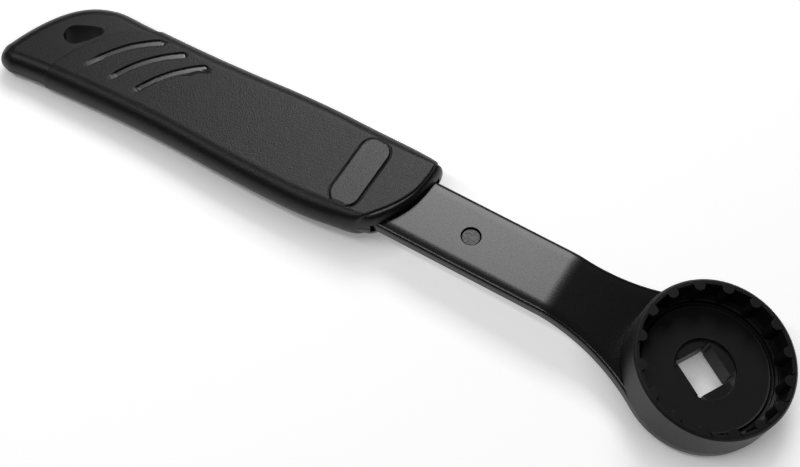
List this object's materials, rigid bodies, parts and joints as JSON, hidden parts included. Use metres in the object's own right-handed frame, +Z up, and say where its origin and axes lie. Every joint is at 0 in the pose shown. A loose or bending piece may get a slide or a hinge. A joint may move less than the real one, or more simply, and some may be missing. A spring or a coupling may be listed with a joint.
{
  "type": "bottom bracket wrench",
  "caption": "Flat steel wrench with a lobed round socket cup, a square drive hole and a rubber-covered handle.",
  "frame": {"origin": "on the socket's axis, level with the top of the head plate, in the square drive hole", "axes": "the wrench lies as it rests on a table: +Z up, +X along the tool from the handle towards the socket, +Y to the side where the handle's butt is short"},
  "size_m": [0.2732, 0.0508, 0.0241],
  "materials": {
    "arm": "smooth semi-gloss black coating",
    "cup": "satin black coating over turned steel",
    "insert": "satin, darkened",
    "core": "moulded, satin to gloss",
    "grip": "fine-textured matt"
  },
  "bodies": {
    "root": {"arm": "arm", "socket_cup": "cup", "magnet_insert": "insert", "handle_core": "core", "rubber_grip": "grip"}
  },
  "joints": []
}
